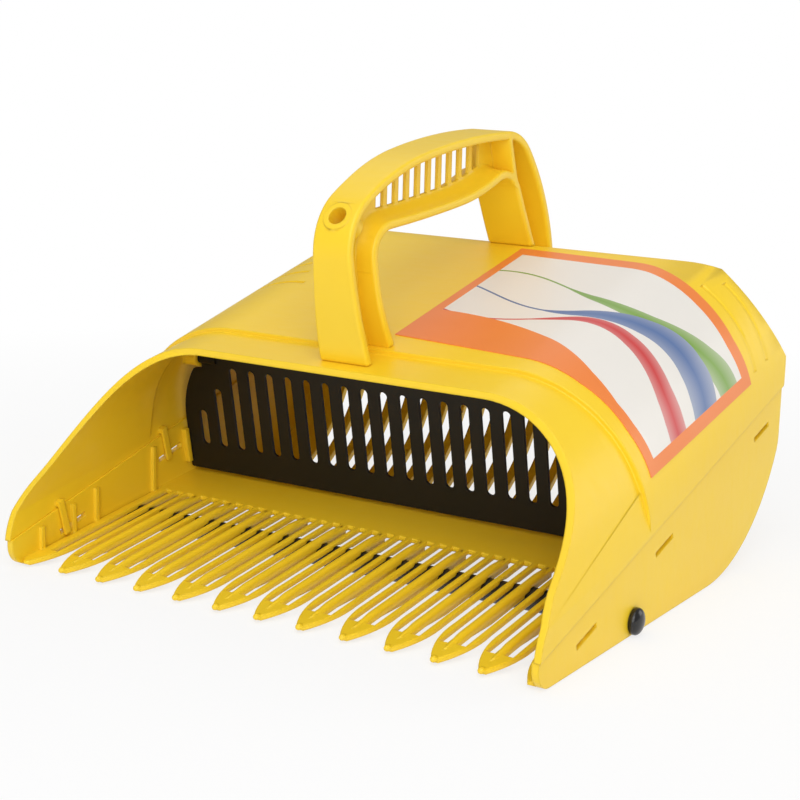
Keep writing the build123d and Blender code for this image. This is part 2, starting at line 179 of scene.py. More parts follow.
class Graph:
    """Short hand for the node tree of one material."""

    def __init__(self, name: str) -> None:
        """Start an empty tree.

        Args:
            name: Name of the new material.
        """
        self.material = bpy.data.materials.new(name)
        self.material.use_nodes = True
        self.tree = self.material.node_tree
        self.tree.nodes.clear()

    def node(self, kind: str, **inputs: object) -> bpy.types.Node:
        """Add one node and fill its inputs.

        Args:
            kind: Node type without the ShaderNode prefix.
            **inputs: Socket names, with underscores for blanks, to values or sockets.

        Returns:
            The new node.
        """
        made = self.tree.nodes.new("ShaderNode" + kind)
        for name, value in inputs.items():
            self.feed(made.inputs[name.replace("_", " ")], value)
        return made

    def feed(self, socket: Socket, value: object) -> None:
        """Link a socket into an input, or set the input's value.

        Args:
            socket: Input to fill.
            value: Another node's output, a number or a colour.
        """
        if isinstance(value, Socket):
            self.tree.links.new(value, socket)
        elif isinstance(value, tuple) and socket.type == "RGBA":
            socket.default_value = (*value, 1.0)
        else:
            socket.default_value = value

    def math(self, operation: str, *values: object, clamp: bool = False) -> Socket:
        """Add a Math node.

        Args:
            operation: Blender's name of the operation.
            *values: Numbers or sockets for its inputs.
            clamp: Whether the result is held between 0 and 1.

        Returns:
            The result socket.
        """
        made = self.tree.nodes.new("ShaderNodeMath")
        made.operation = operation
        made.use_clamp = clamp
        for socket, value in zip(made.inputs, values):
            self.feed(socket, value)
        return made.outputs[0]

    def fold(self, operation: str, *values: Socket) -> Socket:
        """Carry one operation through several values.

        Args:
            operation: Blender's name of the operation.
            *values: The values, taken from the first to the last.

        Returns:
            The result socket.
        """
        result = values[0]
        for value in values[1:]:
            result = self.math(operation, result, value)
        return result

    def line(self, value: Socket, tilt: float, start: float) -> Socket:
        """A straight line: the value times its tilt, plus its start."""
        return self.math("MULTIPLY_ADD", value, tilt, start)

    def lines(self, value: Socket, pairs: Sequence[Pair]) -> list[Socket]:
        """Several straight lines of one value, each from its tilt and start."""
        return [self.line(value, tilt, start) for tilt, start in pairs]

    def mix(self, factor: object, first: object, second: object) -> Socket:
        """Mix two colours.

        Args:
            factor: Share of the second colour.
            first: Colour or socket at factor 0.
            second: Colour or socket at factor 1.

        Returns:
            The mixed colour.
        """
        made = self.tree.nodes.new("ShaderNodeMix")
        made.data_type = "RGBA"
        colours = [socket for socket in made.inputs if socket.type == "RGBA"]
        self.feed(made.inputs[0], factor)
        self.feed(colours[0], first)
        self.feed(colours[1], second)
        return next(socket for socket in made.outputs if socket.type == "RGBA")

    def place(self, scale: Triple = (1.0, 1.0, 1.0)) -> Socket:
        """Object coordinates, stretched along the axes.

        Args:
            scale: Factor for each axis.

        Returns:
            The coordinate socket.
        """
        coordinate = self.node("TexCoord").outputs["Object"]
        mapping = self.node("Mapping", Vector=coordinate)
        mapping.inputs["Scale"].default_value = scale
        return mapping.outputs["Vector"]

    def noise(
        self, vector: Socket, scale: float, detail: float, roughness: float = 0.5
    ) -> Socket:
        """Noise between 0 and 1.

        Args:
            vector: Where the noise is read.
            scale: Cells per metre.
            detail: Octaves.
            roughness: Weight of the fine octaves.

        Returns:
            The noise value.
        """
        made = self.node(
            "TexNoise", Vector=vector, Scale=scale, Detail=detail, Roughness=roughness
        )
        return made.outputs[0]

    def span(self, value: Socket, source: Pair, target: Pair) -> Socket:
        """Map a range of values onto another range.

        Args:
            value: Number to map.
            source: Start and end of its range.
            target: Results at the start and at the end.

        Returns:
            The mapped number.
        """
        made = self.node("MapRange", Value=value)
        names = ("From Min", "From Max", "To Min", "To Max")
        for name, number in zip(names, (*source, *target)):
            made.inputs[name].default_value = number
        return made.outputs[0]

    def finish(self, **inputs: object) -> Material:
        """Close the tree with a Principled shader.

        Args:
            **inputs: Principled sockets, with underscores for blanks.

        Returns:
            The finished material.
        """
        shader = self.node("BsdfPrincipled", **inputs)
        self.node("OutputMaterial", Surface=shader.outputs[0])
        return self.material


@dataclass(frozen=True)
class MouldedPlastic:
    """Moulded plastic with faint flow marks, a fine skin and soft edges, sized in metres.

    A bump is its strength and its height.
    """

    name: str
    colour: Triple
    deep: Triple
    roughness: float
    edge_radius: float
    specular: float = 0.5
    edge_samples: int = 6
    flow_stretch: Triple = (9.0, 3.0, 6.0)
    flow_scale: float = 5.0
    flow_span: Pair = (0.35, 0.7)
    flow_bump: Pair = (0.08, 0.001)
    rub_stretch: Triple = (14.0, 40.0, 14.0)
    rub_scale: float = 9.0
    rub_span: Pair = (0.3, 0.75)
    rub_change: Pair = (-0.05, 0.07)
    grain_scale: float = 2600.0
    grain_span: Pair = (0.3, 0.7)
    grain_change: Pair = (-0.02, 0.02)
    grain_bump: Pair = (0.06, 0.0002)

    def make(self) -> Material:
        """Build the node tree.

        Returns:
            The material.
        """
        graph = Graph(self.name)
        flow = graph.noise(graph.place(self.flow_stretch), self.flow_scale, 4.0)
        rub = graph.noise(graph.place(self.rub_stretch), self.rub_scale, 5.0, 0.65)
        grain = graph.noise(graph.place(), self.grain_scale, 2.0, 0.6)
        cloud = graph.span(flow, self.flow_span, (0.0, 1.0))
        least, most = (self.roughness + change for change in self.rub_change)
        worn = graph.span(rub, self.rub_span, (least, most))
        grit = graph.span(grain, self.grain_span, self.grain_change)
        normal = graph.node("Bevel", Radius=self.edge_radius)
        normal.samples = self.edge_samples
        for height, bump in ((grain, self.grain_bump), (flow, self.flow_bump)):
            below, (strength, distance) = normal.outputs[0], bump
            normal = graph.node(
                "Bump", Height=height, Strength=strength, Distance=distance, Normal=below
            )
        return graph.finish(
            Base_Color=graph.mix(cloud, self.colour, self.deep),
            Roughness=graph.math("ADD", worn, grit),
            Normal=normal.outputs[0],
            Specular_IOR_Level=self.specular,
        )


@dataclass(frozen=True)
class WaveBand:
    """One band of colour across the label: its colour, place, half width and phase."""

    colour: Triple
    level: float
    reach: float
    phase: float


@dataclass(frozen=True)
class LabelPrint:
    """Film label: orange frame and wedge, white field, overlapping bands of colour.

    A line is its tilt and its start.
    """

    name: str = "label_print"
    orange: Triple = (0.84, 0.23, 0.045)
    white: Triple = (0.80, 0.765, 0.71)
    front_lines: tuple[Pair, ...] = (
        (-0.0785, 75.38), (-0.035, 72.9), (0.106, 61.6), (0.329, 40.0)
    )
    rear_inner_lines: tuple[Pair, ...] = ((-0.0436, 161.84), (-0.152, 168.9))
    rear_outer_lines: tuple[Pair, ...] = ((-0.0615, 161.1), (0.259, 129.3))
    low_line: Pair = (0.2185, 33.99)
    left_line: Pair = (0.0335, 2.29)
    frame_width: float = 4.5
    rear_weight: float = 0.75
    left_weight: float = 1.15
    wedge_line: Pair = (-0.16, 24.0)
    swell_rate: float = 0.045
    swell_height: float = 5.0
    bands: tuple[WaveBand, ...] = (
        WaveBand((0.2, 0.36, 0.06), 58.0, 7.0, 0.4),
        WaveBand((0.1, 0.17, 0.36), 44.0, 9.0, 1.9),
        WaveBand((0.6, 0.05, 0.05), 30.0, 6.0, 3.3),
    )
    wave_rate: float = 0.062
    wave_height: float = 7.0
    widening: Pair = (45.0, 110.0)
    least_reach: float = 0.5
    paling: float = 0.35
    gloss_scale: float = 60.0
    gloss_span: Pair = (0.3, 0.7)
    roughness: Pair = (0.36, 0.44)

    def make(self) -> Material:
        """Build the node tree.

        Returns:
            The material.
        """
        graph = Graph(self.name)
        split = graph.node("SeparateXYZ", Vector=graph.node("TexCoord").outputs["Object"])
        across, along, up = (graph.math("MULTIPLY", part, 1.0 / MM) for part in split.outputs)
        back = graph.math("SUBTRACT", along, TIP_Y)
        run = self.round_shoulder(graph, across, back, up)
        front_edge = graph.fold("MAXIMUM", *graph.lines(across, self.front_lines))
        inner_edge = graph.fold("MINIMUM", *graph.lines(across, self.rear_inner_lines))
        outer_edges = graph.lines(across, self.rear_outer_lines)
        rear_edge = graph.fold("MAXIMUM", inner_edge, *outer_edges)
        front = graph.math("SUBTRACT", back, front_edge)
        rear = graph.math("SUBTRACT", rear_edge, back)
        low = graph.math("SUBTRACT", up, graph.line(back, *self.low_line))
        left = graph.math("SUBTRACT", across, graph.line(back, *self.left_line))
        nearest = graph.fold(
            "MINIMUM",
            front,
            graph.math("MULTIPLY", rear, self.rear_weight),
            low,
            graph.math("MULTIPLY", left, self.left_weight),
        )
        border = graph.math("LESS_THAN", nearest, self.frame_width)
        swell = graph.math("SINE", graph.math("MULTIPLY", run, self.swell_rate))
        wedge_edge = graph.math(
            "ADD",
            graph.line(run, *self.wedge_line),
            graph.math("MULTIPLY", swell, self.swell_height),
        )
        wedge = graph.math("LESS_THAN", front, wedge_edge)
        colour = graph.mix(wedge, self.banded(graph, run, front), self.orange)
        gloss = graph.noise(graph.place(), self.gloss_scale, 2.0)
        return graph.finish(
            Base_Color=graph.mix(border, colour, self.orange),
            Roughness=graph.span(gloss, self.gloss_span, self.roughness),
        )

    def round_shoulder(self, graph: Graph, across: Socket, back: Socket, up: Socket) -> Socket:
        """The way from the middle plane over the shoulder and down the wall.

        Args:
            graph: Tree of the label.
            across: Place across.
            back: Place back from the finger tips.
            up: Height.

        Returns:
            The way along the film.
        """
        roof = graph.line(graph.math("SUBTRACT", back, ROOF_FROM), ROOF_RISE, ROOF_HEIGHT)
        above = graph.math("DIVIDE", graph.math("SUBTRACT", up, roof), math.hypot(1.0, ROOF_RISE))
        rise = graph.math("ADD", above, SHOULDER)
        out = graph.math("MAXIMUM", graph.math("SUBTRACT", across, SHOULDER_CENTRE), 0.0)
        turn = graph.math("ARCTAN2", out, graph.math("MAXIMUM", rise, 0.0))
        flat = graph.math("MINIMUM", across, SHOULDER_CENTRE)
        wrap = graph.math("MULTIPLY_ADD", turn, SHOULDER, flat)
        return graph.math("SUBTRACT", wrap, graph.math("MINIMUM", rise, 0.0))

    def banded(self, graph: Graph, run: Socket, front: Socket) -> Socket:
        """The white field with its wave bands.

        Args:
            graph: Tree of the label.
            run: Way along the film.
            front: Distance behind the front edge.

        Returns:
            The colour.
        """
        colour = self.white
        for band in self.bands:
            wave = graph.math("SINE", graph.line(run, self.wave_rate, band.phase))
            centre = graph.line(wave, self.wave_height, band.level)
            distance = graph.math("ABSOLUTE", graph.math("SUBTRACT", front, centre))
            reach = graph.span(run, self.widening, (self.least_reach, band.reach))
            fade = graph.span(distance, (0.0, band.reach), (0.0, self.paling))
            tint = graph.mix(fade, band.colour, self.white)
            colour = graph.mix(graph.math("LESS_THAN", distance, reach), colour, tint)
        return colour


class Finishes:
    """All finishes of the rake, made once."""

    def __init__(self) -> None:
        """Make every material."""
        self.by_slot = {
            Slot.YELLOW: MouldedPlastic(
                "yellow_moulding", (0.92, 0.63, 0.022), (0.905, 0.605, 0.018), 0.40, 0.0008
            ).make(),
            Slot.FLAP: MouldedPlastic(
                "black_flap", (0.007, 0.006, 0.005), (0.009, 0.007, 0.006), 0.5, 0.0004, 0.3
            ).make(),
            Slot.ROD: MouldedPlastic(
                "black_rod", (0.012, 0.012, 0.012), (0.018, 0.018, 0.018), 0.36, 0.0003
            ).make(),
            Slot.CAP: MouldedPlastic(
                "gloss_cap", (0.010, 0.010, 0.011), (0.014, 0.014, 0.015), 0.16, 0.0003
            ).make(),
            Slot.LABEL: LabelPrint().make(),
        }


@dataclass(frozen=True)
class Rounding:
    """Sharp edges of a piece that are rounded, and how far."""

    width: float
    segments: int
    wanted: EdgeTest
    convex: bool = True
    sharper_than: float = 35.0

    def inward(
        self, mesh: bpy.types.Mesh, face: bpy.types.MeshPolygon, edge: bpy.types.MeshEdge
    ) -> Vector:
        """Direction in a face, square to one of its edges, that points into the face.

        Args:
            mesh: Mesh of the face.
            face: The face.
            edge: One of its edges.

        Returns:
            The direction.
        """
        corners = list(face.vertices)
        for here, there in zip(corners, corners[1:] + corners[:1]):
            if {here, there} == set(edge.vertices):
                return face.normal.cross(mesh.vertices[there].co - mesh.vertices[here].co)
        return Vector()

    def apply(self, piece: Piece) -> int:
        """Round the wanted edges of a piece.

        Args:
            piece: The piece, in object mode and selected.

        Returns:
            How many edges were rounded.
        """
        bpy.ops.object.mode_set(mode="EDIT")
        bpy.ops.mesh.select_mode(type="EDGE")
        bpy.ops.mesh.select_all(action="DESELECT")
        bpy.ops.object.mode_set(mode="OBJECT")
        chosen = self.select_edges(piece.data)
        bpy.ops.object.mode_set(mode="EDIT")
        bpy.ops.mesh.bevel(
            offset=self.width * MM,
            segments=self.segments,
            affect="EDGES",
            clamp_overlap=False,
            loop_slide=False,
        )
        bpy.ops.object.mode_set(mode="OBJECT")
        return chosen

    def select_edges(self, mesh: bpy.types.Mesh) -> int:
        """Select the wanted edges among the sharp ones.

        Args:
            mesh: Mesh of the piece.

        Returns:
            How many edges were selected.
        """
        sides: dict[tuple[int, int], list[bpy.types.MeshPolygon]] = {}
        for face in mesh.polygons:
            for key in face.edge_keys:
                sides.setdefault(key, []).append(face)
        limit = math.cos(math.radians(self.sharper_than))
        chosen = 0
        for edge in mesh.edges:
            pair = sides.get(edge.key, [])
            if len(pair) != 2 or pair[0].normal.dot(pair[1].normal) > limit:
                continue
            if self.convex and self.inward(mesh, pair[0], edge).dot(pair[1].normal) > 0.0:
                continue
            if self.wanted([side_view(mesh.vertices[index].co) for index in edge.vertices]):
                edge.select = True
                chosen += 1
        return chosen


@dataclass
class CadSkin:
    """Smooth copy of one CAD node, merged, rounded and shaded for the render."""

    node: str
    body: Body
    slot: Slot
    smooth_angle: float = 40.0
    merge: float = 0.01
    flatness: float = 0.3

    def build(self, material: Material) -> Piece:
        """Copy, shape and shade the node, and let the copy stand for it.

        Args:
            material: Finish of the piece.

        Returns:
            The new piece.
        """
        piece = self.merged_copy()
        for move in self.moves():
            for vertex in piece.data.vertices:
                spot = side_view(vertex.co)
                move(spot)
                vertex.co = model_view(spot)
        self.even_out(piece)
        with editing():
            bpy.ops.mesh.dissolve_limited(angle_limit=math.radians(self.flatness))
        for rounding in self.roundings():
            log.info("%s: %d edges rounded", self.node, rounding.apply(piece))
        self.take_in(piece, self.raised_forms())
        self.shade(piece)
        dress(piece, material)
        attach(piece, self.body.value)
        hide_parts(self.node)
        return piece

    def merged_copy(self) -> Piece:
        """Copy the node's mesh and join its loose triangles.

        Returns:
            The copy, selected and active.
        """
        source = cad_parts[self.node]
        piece = bpy.data.objects.new(self.node + "_skin", source.data.copy())
        bpy.context.scene.collection.objects.link(piece)
        select_only(piece)
        bpy.ops.mesh.customdata_custom_splitnormals_clear()
        with editing():
            bpy.ops.mesh.remove_doubles(threshold=self.merge * MM)
        return piece

    def take_in(self, piece: Piece, forms: Sequence[Piece]) -> None:
        """Join raised forms to a piece.

        Args:
            piece: The piece.
            forms: The forms, which are used up.
        """
        if not forms:
            return
        select_only(piece)
        for form in forms:
            form.select_set(True)
        bpy.ops.object.join()

    def shade(self, piece: Piece) -> None:
        """Shade a piece smooth, with its sharp edges kept.

        Args:
            piece: The piece, selected and active.
        """
        bpy.ops.object.shade_smooth_by_angle(angle=math.radians(self.smooth_angle))
        weighted = piece.modifiers.new("even_normals", "WEIGHTED_NORMAL")
        weighted.keep_sharp = True
        bpy.ops.object.modifier_apply(modifier=weighted.name)

    def moves(self) -> tuple[Move, ...]:
        """Small moves of the piece's corners; a plain skin has none."""
        return ()

    def even_out(self, piece: Piece) -> None:
        """Better the triangles of a piece before it is rounded; a plain skin leaves them."""

    def roundings(self) -> tuple[Rounding, ...]:
        """Edges that are rounded; a plain skin has none."""
        return ()

    def raised_forms(self) -> list[Piece]:
        """Forms that the skin takes in; a plain skin has none."""
        return []


@dataclass
class HoodSkin(CadSkin):
    """Skin of the hood: slimmer tongues, opened right grooves, an even left shoulder."""

    wall_from: float = 98.0
    tongues: tuple[float, ...] = (21.6, 80.7, 164.7)
    tongue_half: float = 2.85
    tongue_reach: Pair = (-10.7, 3.1)
    tongue_draw: float = 0.5
    groove_from: float = 108.5
    groove_pitch: float = 10.8
    grooves: int = 7
    groove_low: float = 50.0
    groove_span: Pair = (106.0, 176.0)
    lip: float = 0.9
    lip_touch: float = 0.03
    lip_depth: float = 0.65
    lip_slant: float = 0.6
    left_from: float = 58.0
    skin_depth: float = 0.6
    least_gain: float = 0.02
    rounds: int = 60
    crease: Pair = (62.5, 82.3)
    crease_across: Pair = (0.984, 0.177)
    crease_low: float = 46.0

    def moves(self) -> tuple[Move, ...]:
        """The tongues and the grooves."""
        return self.slim_tongue, self.open_groove

    def roundings(self) -> tuple[Rounding, ...]:
        """The crease behind the brow."""
        return (Rounding(width=0.5, segments=2, wanted=self.on_crease, convex=False),)

    def slim_tongue(self, point: Vector) -> None:
        """Draw in the sides of the snap tongues.

        Args:
            point: Corner of the hood, changed in place.
        """
        low, high = self.tongue_reach
        for distance in self.tongues:
            along, above = along_seam(point, distance)
            on_tongue = abs(along) < self.tongue_half and low < above < high
            if on_tongue and abs(point.x) > self.wall_from:
                shift_by_seam(point, -self.tongue_draw * along, 0.0)
                return

    def open_groove(self, point: Vector) -> None:
        """Lay the lips of the right shoulder's grip grooves back, so that they open outwards.

        Args:
            point: Corner of the hood, changed in place.
        """
        index = round((point.y - self.groove_from) / self.groove_pitch)
        middle = self.groove_from + self.groove_pitch * index
        step = point.y - middle
        level = point.z - roof_at(middle) + SHOULDER
        outside = math.hypot(abs(point.x) - SHOULDER_CENTRE, level) > SHOULDER - self.lip_depth
        on_lip = outside and abs(abs(step) - self.lip) < self.lip_touch
        on_right = point.x > 0.0 and point.z > self.groove_low
        if on_lip and on_right and 0 <= index < self.grooves:
            point.y += math.copysign(self.lip_slant, step)
            point.z += ROOF_RISE * math.copysign(self.lip_slant, step)

    def even_out(self, piece: Piece) -> None:
        """Turn edges that cut through the left shoulder, until none is left.

        Args:
            piece: The piece, in object mode.
        """
        shell = bmesh.new()
        shell.from_mesh(piece.data)
        for _ in range(self.rounds):
            turned = 0
            for edge in list(shell.edges):
                if edge.is_valid and self.cuts_through(edge):
                    turned += bmesh.utils.edge_rotate(edge, True) is not None
            if not turned:
                break
        shell.to_mesh(piece.data)
        shell.free()

    def unroll(self, point: Vector) -> Vector:
        """A point of the left shoulder, with the shoulder's curve laid flat.

        Args:
            point: Point of the model in metres.

        Returns:
            The way round the shoulder, back from the finger tips and out from its centre.
        """
        spot = side_view(point)
        level = spot.z - roof_at(spot.y) + SHOULDER
        out = -SHOULDER_CENTRE - spot.x
        return Vector((math.atan2(out, level) * SHOULDER, spot.y, math.hypot(out, level)))

    def cuts_through(self, edge: bmesh.types.BMEdge) -> bool:
        """Whether a left shoulder's edge lies deeper than its triangles' other diagonal.

        Args:
            edge: Edge of the hood.

        Returns:
            Whether the other diagonal is better.
        """
        faces = edge.link_faces
        if len(faces) != 2 or any(len(face.verts) != 3 for face in faces):
            return False
        if edge.verts[0].co.x > -self.left_from * MM:
            return False
        ends = list(edge.verts)
        others = [next(corner for corner in face.verts if corner not in ends) for face in faces]
        flat = [self.unroll(corner.co) for corner in ends + others]
        front, rear = self.groove_span
        least = SHOULDER - self.skin_depth
        if any(spot.z < least or not front < spot.y < rear for spot in flat):
            return False
        here, there = (self.unroll((pair[0].co + pair[1].co) / 2).z for pair in (ends, others))
        first, second, third, fourth = (Vector((spot.x, spot.y)) for spot in flat)
        apart = turn_side(first, second, third) * turn_side(first, second, fourth) < 0.0
        within = turn_side(third, fourth, first) * turn_side(third, fourth, second) < 0.0
        return there > here + self.least_gain and apart and within

    def on_crease(self, ends: Sequence[Vector]) -> bool:
        """Whether an edge runs along the outside of the crease behind the brow.

        Args:
            ends: Both ends of the edge.

        Returns:
            Whether it does.
        """
        back, up = self.crease
        by_back, by_up = self.crease_across
        reach = max(abs((end.y - back) * by_back + (end.z - up) * by_up) for end in ends)
        return reach < TOUCH and min(end.z for end in ends) > self.crease_low


@dataclass
class TraySkin(CadSkin):
    """Skin of the tray, with a crown along each finger's middle tine and a bead at its tip."""

    fingers: tuple[int, ...] = tuple(range(-5, 6))
    comb_half: float = 103.5
    comb_end: float = 78.5
    slit_span: Pair = (11.9, 78.1)
    slit_walls: tuple[Pair, ...] = ((1.233, 0.4), (4.433, -0.4))
    wall_from: float = 100.0
    windows: tuple[float, ...] = (26.0, 82.7, 166.7)
    window_drop: float = 9.0
    window_half: Pair = (7.1, 0.75)
    window_stretch: float = 0.4
    crown_span: Pair = (6.0, 77.0)
    crown_width: float = 2.9
    crown_height: float = 1.1
    crown_nose: float = 0.16
    crown_bluntness: float = 0.8
    crown_tail: float = 0.1
    crown_root: float = 0.5
    crown_sink: float = 0.02
    crown_rings: int = 24
    bead_place: Pair = (0.9, 1.75)
    bead_radii: Triple = (1.15, 1.5, 1.15)
    bead_rings: int = 10
    ball_segments: int = 14

    def moves(self) -> tuple[Move, ...]:
        """The slits and the windows."""
        return self.close_slit, self.widen_window

    def roundings(self) -> tuple[Rounding, ...]:
        """The upper and lower edges of the tines.

        Returns:
            One rounding for each.
        """
        return (
            Rounding(0.35, segments=2, wanted=partial(self.on_comb, depth=0.0)),
            Rounding(0.3, segments=1, wanted=partial(self.on_comb, depth=COMB_THICKNESS)),
        )

    def close_slit(self, point: Vector) -> None:
        """Bring the walls of the comb's slits closer together.

        Args:
            point: Corner of the tray, changed in place.
        """
        front, rear = self.slit_span
        in_comb = -TOUCH < comb_at(point.y) - point.z < COMB_THICKNESS + TOUCH
        if not in_comb or not front < point.y < rear or abs(point.x) >= self.comb_half:
            return
        offset = finger_offset(point.x)
        for wall, step in self.slit_walls:
            if abs(abs(offset) - wall) < TOUCH:
                point.x += math.copysign(step, offset)

    def widen_window(self, point: Vector) -> None:
        """Open the snap windows in the walls a little more.

        Args:
            point: Corner of the tray, changed in place.
        """
        half_length, half_height = self.window_half
        for distance in self.windows:
            along, above = along_seam(point, distance)
            off = above + self.window_drop
            at_window = abs(along) < half_length and abs(off) < half_height
            if at_window and abs(point.x) > self.wall_from:
                shift_by_seam(point, 0.0, self.window_stretch * off)
                return

    def on_comb(self, ends: Sequence[Vector], depth: float) -> bool:
        """Whether an edge lies in the comb, at a depth below its top.

        Args:
            ends: Both ends of the edge.
            depth: The depth.

        Returns:
            Whether it does.
        """
        inside = all(abs(end.x) < self.comb_half and end.y < self.comb_end for end in ends)
        return inside and all(abs(comb_at(end.y) - end.z - depth) < TOUCH for end in ends)

    def raised_forms(self) -> list[Piece]:
        """Crowns and beads of all whole fingers.

        Returns:
            The forms.
        """
        forms = []
        for finger in self.fingers:
            across = finger * FINGER_PITCH
            forms.append(self.ball("finger_crown", self.crown_rings, self.on_crown, across))
            forms.append(self.ball("finger_bead", self.bead_rings, self.on_bead, across))
        return forms

    def ball(
        self, name: str, rings: int, shape: Callable[[Vector, float], Vector], across: float
    ) -> Piece:
        """A ball with its poles to the front and back, drawn out into another shape.

        Args:
            name: Name of the form.
            rings: Rings from pole to pole.
            shape: Where a point of the unit ball goes.
            across: Middle of the form across the rake.

        Returns:
            The form.
        """
        bpy.ops.object.select_all(action="DESELECT")
        bpy.ops.mesh.primitive_uv_sphere_add(
            segments=self.ball_segments,
            ring_count=rings,
            radius=1.0,
            location=(0.0, 0.0, 0.0),
            rotation=(math.pi / 2, 0.0, 0.0),
        )
        form = bpy.context.object
        form.name = name
        bpy.ops.object.transform_apply(location=True, rotation=True, scale=True)
        for vertex in form.data.vertices:
            vertex.co = model_view(shape(vertex.co.copy(), across))
        return form

    def on_crown(self, point: Vector, across: float) -> Vector:
        """Draw a point of the unit ball out to the crown of a middle tine.

        Args:
            point: Point of the unit ball.
            across: Middle of the finger.

        Returns:
            The point of the crown.
        """
        share = math.acos(max(-1.0, min(1.0, -point.y))) / math.pi
        ring = max(math.hypot(point.x, point.z), 1e-6)
        side, up = point.x / ring, point.z / ring
        nose = min(1.0, share / self.crown_nose) ** self.crown_bluntness
        full = nose * min(1.0, (1.0 - share) / self.crown_tail)
        front, rear = self.crown_span
        back = front + share * (rear - front)
        lift = self.crown_height * full * up if up > 0.0 else self.crown_root * up
        out = self.crown_width / 2 * full * side
        return Vector((across + out, back, comb_at(back) + lift - self.crown_sink))

    def on_bead(self, point: Vector, across: float) -> Vector:
        """Draw a point of the unit ball out to the bead at a finger's tip.

        Args:
            point: Point of the unit ball.
            across: Middle of the finger.

        Returns:
            The point of the bead.
        """
        wide, long, high = self.bead_radii
        back, up = self.bead_place
        return Vector((across + wide * point.x, back + long * point.y, up + high * point.z))


@dataclass
class HandleSkin(CadSkin):
    """Skin of the handle, with the hollow fillets that lead from its web to the grip's rim."""

    flange_half: float = 6.9
    rib: Pair = (149.9, 141.5)
    rib_lean: float = 0.33
    rib_half: float = 1.6
    rib_low: float = 132.0
    web_half: float = 1.0
    web_step: float = 0.5
    belly: tuple[Pair, ...] = (
        (74.0, 75.5), (58.8, 114.8), (67.2, 124.2), (112.8, 128.5), (140.8, 135.5), (153.4, 130.7)
    )
    heading: Pair = (-0.639, 0.769)
    steps: int = 10
    profile: tuple[Pair, ...] = (
        (7.0, 3.0), (6.4, 3.35), (4.6, 3.75), (3.0, 4.35), (1.7, 5.3),
        (0.9, 6.0), (0.55, 6.7), (0.2, 6.7), (0.2, 2.6), (7.0, 2.6),
    )
    rise_from: float = 3.2
    sink: float = 0.1
    fillet_places: Pair = (0.8, 4.7)
    full_from: float = 0.9
    full_to: float = 4.6
    swell_in: float = 0.8
    swell_out: float = 0.7

    def roundings(self) -> tuple[Rounding, ...]:
        """The flanges' rims and the corners of the web's slots.

        Returns:
            One rounding for each.
        """
        return (
            Rounding(width=1.1, segments=3, wanted=self.on_flange_rim),
            Rounding(width=0.7, segments=2, wanted=self.across_web, convex=False),
        )

    def on_flange_rim(self, ends: Sequence[Vector]) -> bool:
        """Whether an edge runs along a rim of the flanges, and not of the elbow's rib.

        Args:
            ends: Both ends of the edge.

        Returns:
            Whether it does.
        """
        back, up = self.rib
        off_rib = max(abs(end.y - back + (end.z - up) * self.rib_lean) for end in ends)
        at_rib = off_rib < self.rib_half and min(end.z for end in ends) > self.rib_low
        return min(abs(end.x) for end in ends) > self.flange_half and not at_rib

    def across_web(self, ends: Sequence[Vector]) -> bool:
        """Whether an edge goes through the web, in a slot's corner."""
        inside = max(abs(end.x) for end in ends) < self.web_half
        return inside and abs(ends[0].x - ends[1].x) > self.web_step

    def raised_forms(self) -> list[Piece]:
        """The fillets on both sides of the web."""
        return [self.fillet(side) for side in (1, -1)]

    def stations(self) -> list[tuple[Vector, Vector, float]]:
        """Points along the belly with their outward directions and shares of the full fillet.

        Returns:
            Triples of point, direction and share.
        """
        found = []
        heading = Vector(self.heading).normalized()
        first, last = self.fillet_places
        for index, (start, end) in enumerate(zip(self.belly, self.belly[1:])):
            chord = Vector(end) - Vector(start)
            left = Vector((-heading.y, heading.x))
            sweep = 2.0 * math.atan2(chord.dot(left), chord.dot(heading))
            radius = chord.length_squared / (2.0 * chord.dot(left))
            for step in range(self.steps):
                place = index + step / self.steps
                if not first < place < last:
                    continue
                angle = sweep * step / self.steps
                ahead, aside = math.sin(angle), 1.0 - math.cos(angle)
                point = Vector(start) + radius * (ahead * heading + aside * left)
                outward = math.cos(angle) * left - math.sin(angle) * heading
                found.append((point, outward, self.share(place)))
            heading = (math.cos(sweep) * heading + math.sin(sweep) * left).normalized()
        return found

    def share(self, place: float) -> float:
        """Share of the full fillet at a place, in arcs from the belly's start.

        Args:
            place: Number of the arc and the share of it that is passed.

        Returns:
            The share, from 0 to 1.
        """
        rising = max(0.0, (place - self.full_from) / self.swell_in)
        falling = max(0.0, (self.full_to - place) / self.swell_out)
        return min(1.0, rising, falling)

    def fillet(self, side: int) -> Piece:
        """Draw the fillet's outline at the first station and carry it along the belly.

        Args:
            side: 1 for the right side of the web, -1 for the left one.

        Returns:
            The fillet.
        """
        rings = []
        for point, outward, share in self.stations():
            ring = []
            for across, rise in self.profile:
                scale = share if rise > self.rise_from else 1.0
                height = self.rise_from + (rise - self.rise_from) * scale - self.sink
                place = point + outward * height
                ring.append(model_view(Vector((side * across, place.x, place.y))))
            rings.append(ring)
        count = len(self.profile)
        faces = [tuple(range(count)), tuple(range((len(rings) - 1) * count, len(rings) * count))]
        for row in range(len(rings) - 1):
            for column in range(count):
                first, second = row * count + column, row * count + (column + 1) % count
                faces.append((first, second, second + count, first + count))
        mesh = bpy.data.meshes.new("grip_fillet")
        mesh.from_pydata([corner for ring in rings for corner in ring], [], faces)
        form = bpy.data.objects.new("grip_fillet", mesh)
        bpy.context.scene.collection.objects.link(form)
        select_only(form)
        with editing():
            bpy.ops.mesh.normals_make_consistent(inside=False)
        return form


